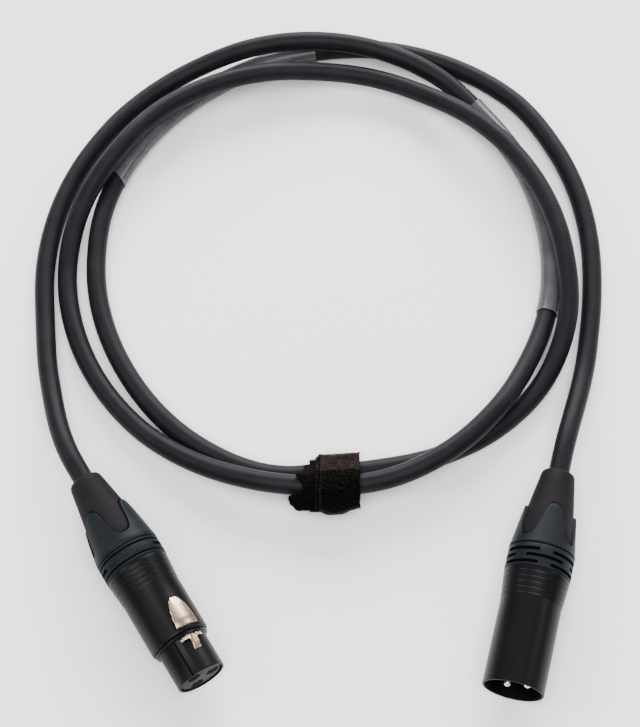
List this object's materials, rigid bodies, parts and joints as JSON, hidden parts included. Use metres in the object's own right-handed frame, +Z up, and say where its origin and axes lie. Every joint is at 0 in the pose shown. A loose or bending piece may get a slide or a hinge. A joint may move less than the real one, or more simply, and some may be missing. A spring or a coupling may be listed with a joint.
{
  "type": "microphone cable coil",
  "caption": "Balanced microphone cable wound into a flat coil, with a latching socket connector, a pin connector, clear label sleeves and a hook-and-loop strap.",
  "frame": {"origin": "centre of the bounding box on the surface the coil lies on", "axes": "+Z up from the surface, +Y from the connectors towards the far side of the coil, +X from the socket connector towards the pin connector"},
  "size_m": [0.1896, 0.2406, 0.0204],
  "materials": {
    "jacket": "satin charcoal",
    "strap_pile": "dark brown looped pile",
    "clear_sleeve": "clear",
    "shell_finish": "satin black",
    "insulator": "dark grey",
    "contact_metal": "silver plated",
    "latch_nickel": "satin nickel",
    "spring_steel": "plain",
    "clamp_plastic": "off white",
    "boot_hard": "slate grey",
    "boot_soft": "brown black, matt",
    "core_red": "red insulation",
    "core_white": "white insulation",
    "screen_copper": "bare copper strands"
  },
  "bodies": {
    "cable_assembly": {"cable": "jacket", "cable_strap": "strap_pile", "label_sleeve_outer_strand": "clear_sleeve", "label_sleeve_inner_strand": "clear_sleeve", "socket_shell": "shell_finish", "socket_insert": "insulator", "socket_contact_1": "contact_metal", "socket_contact_2": "contact_metal", "socket_contact_3": "contact_metal", "latch_spring": "spring_steel", "socket_chuck": "clamp_plastic", "socket_bushing": "boot_hard", "socket_gland": "boot_soft", "socket_wire_hot": "core_red", "socket_wire_cold": "core_white", "socket_wire_screen": "screen_copper", "plug_shell": "shell_finish", "plug_insert": "insulator", "plug_pin_1": "contact_metal", "plug_pin_2": "contact_metal", "plug_pin_3": "contact_metal", "plug_chuck": "clamp_plastic", "plug_bushing": "boot_hard", "plug_gland": "boot_soft", "plug_wire_hot": "core_red", "plug_wire_cold": "core_white", "plug_wire_screen": "screen_copper"},
    "latch": {"latch": "latch_nickel"}
  },
  "joints": [
    {"name": "latch_press", "type": "hinge", "parent": "cable_assembly", "child": "latch", "pos_m": [-0.04542, -0.09117, 0.01627], "axis": [0.7736, 0.4722, -0.4226], "range_deg": [0, 3.5], "stiffness_Nm_per_rad": 0.3, "springref_deg": -2.29, "deforming": ["latch_spring"]}
  ]
}
